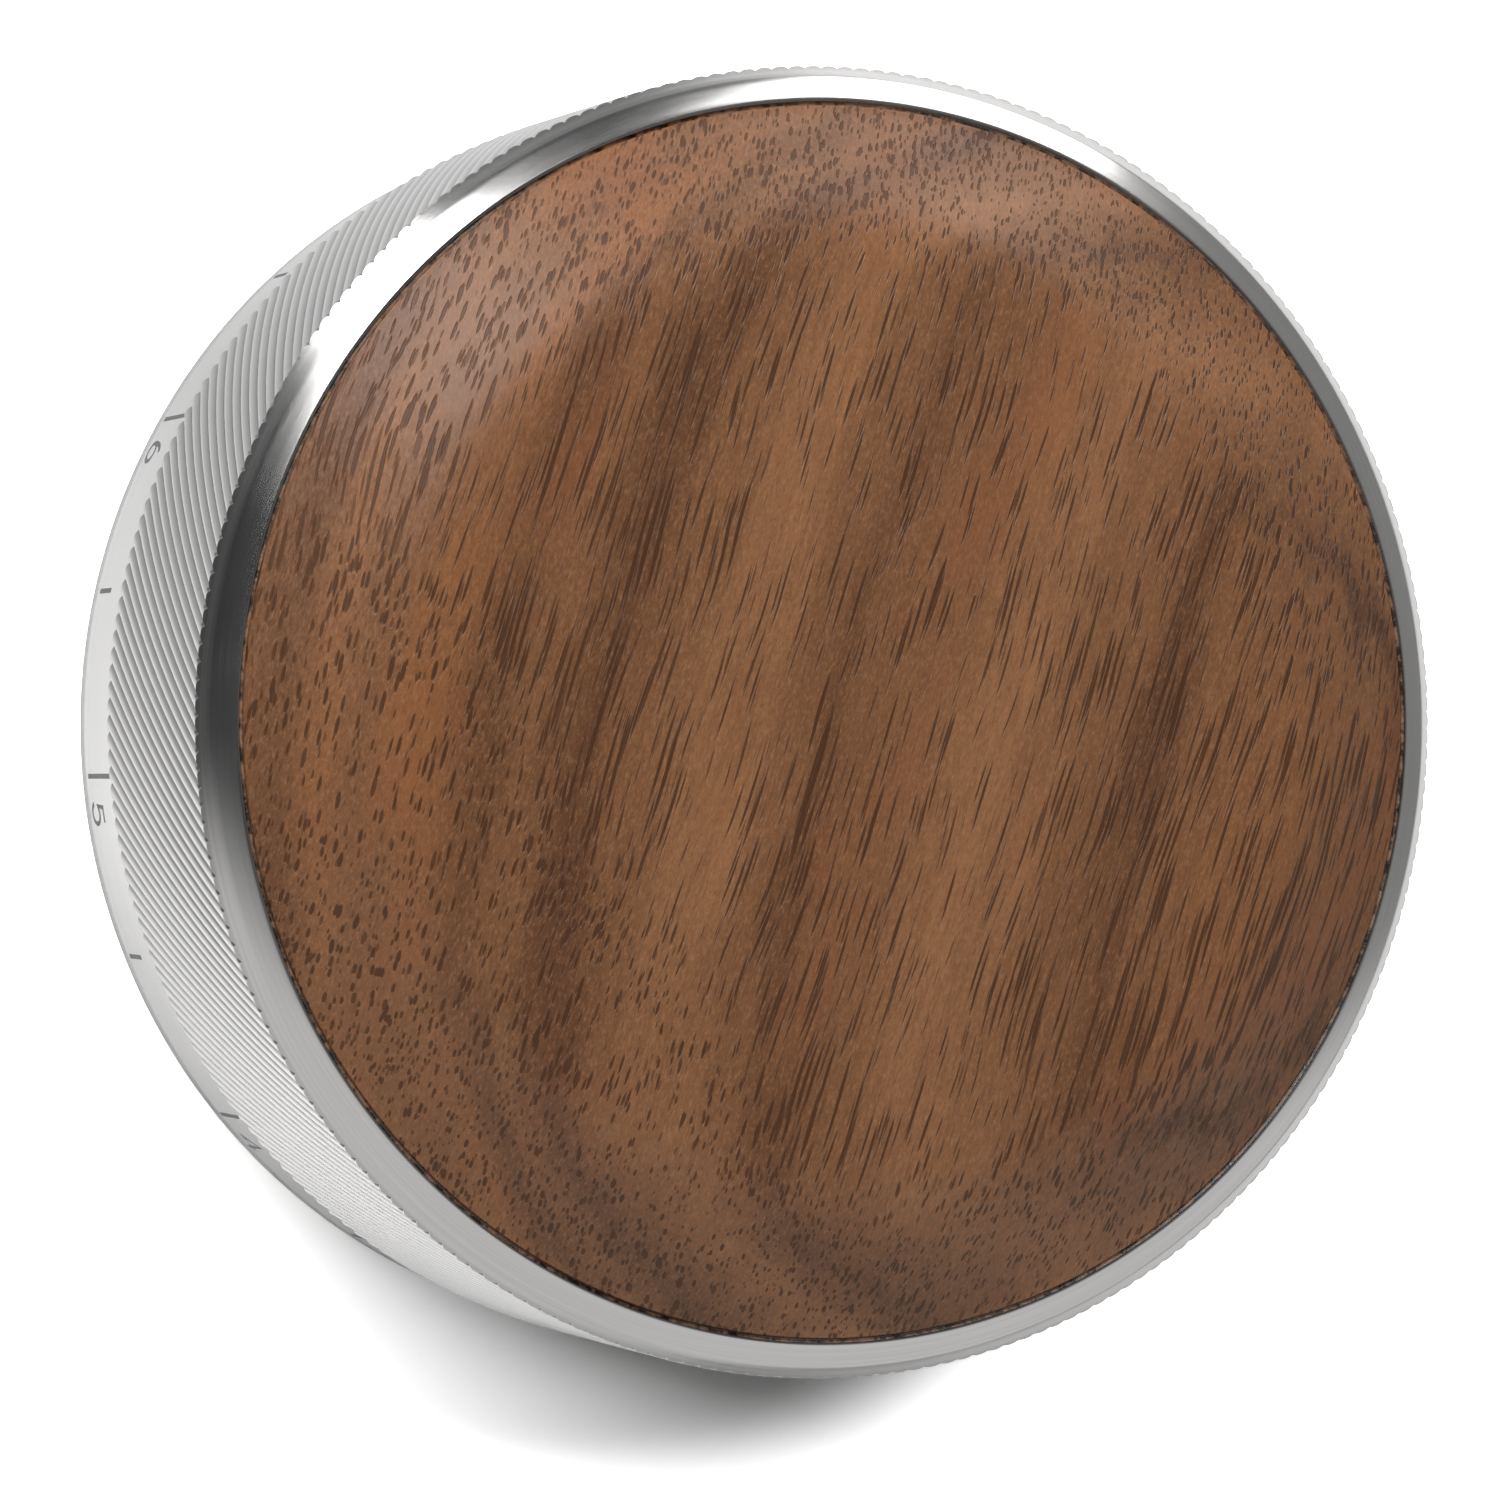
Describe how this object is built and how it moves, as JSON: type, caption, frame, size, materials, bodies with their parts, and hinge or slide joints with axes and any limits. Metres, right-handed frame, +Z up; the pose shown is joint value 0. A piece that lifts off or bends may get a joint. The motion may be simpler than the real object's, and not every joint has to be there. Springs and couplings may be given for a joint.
{
  "type": "espresso tamper",
  "caption": "Round knurled steel espresso tamper with a domed walnut top, a numbered scale band and a flat base that screws in and out to set the tamping depth.",
  "frame": {"origin": "centre of the flat tamping face, the lowest point of the tamper as it stands", "axes": "+Z up along the tamper's axis, from the tamping face to the wood top; -Y is the side with the index line, where the middle number of the scale stands at rest"},
  "size_m": [0.07, 0.07, 0.0396],
  "materials": {
    "stainless_shell": "satin turned and knurled, polished rim",
    "stainless_base": "turned and lapped, satin",
    "pin_steel": "ground and hardened",
    "dark_steel": "machined carbon steel, oiled",
    "carrier_aluminium": "machined",
    "bush_bronze": "sintered bronze",
    "washer_plastic": "white low-friction plastic",
    "wiper_rubber": "smooth black rubber",
    "walnut": "open-pored, thin satin oil finish",
    "bond_black": "dark adhesive",
    "mark_fill": "dark grey marking"
  },
  "bodies": {
    "base": {"tamping_base": "stainless_base", "base_carrier": "carrier_aluminium", "carrier_screws": "dark_steel", "pin_bushes": "bush_bronze", "wiper_ring": "wiper_rubber", "index_mark": "mark_fill"},
    "click_ring": {"click_ring": "dark_steel", "drive_pins": "pin_steel", "stop_pin": "pin_steel", "thrust_washer": "washer_plastic"},
    "handle": {"handle_shell": "stainless_shell", "wood_inlay": "walnut", "inlay_bond": "bond_black", "thread_hub": "dark_steel", "snap_ring": "pin_steel", "hub_screws": "dark_steel", "detent_balls": "pin_steel", "detent_springs": "pin_steel", "detent_plugs": "dark_steel", "stop_post": "pin_steel", "scale_marks": "mark_fill", "scale_numerals": "mark_fill"}
  },
  "joints": [
    {"name": "depth_slide", "type": "slide", "parent": "base", "child": "click_ring", "axis": [0, 0, 1], "range_m": [-0.0025, 0.0025]},
    {"name": "dial_turn", "type": "hinge", "parent": "click_ring", "child": "handle", "pos_m": [0, 0, 0.0205], "axis": [0, 0, 1], "range_deg": [-171.4, 171.4]}
  ],
  "couplings": [
    {"joint": "depth_slide", "follows": "dial_turn", "m_per_rad": 0.00083556}
  ]
}
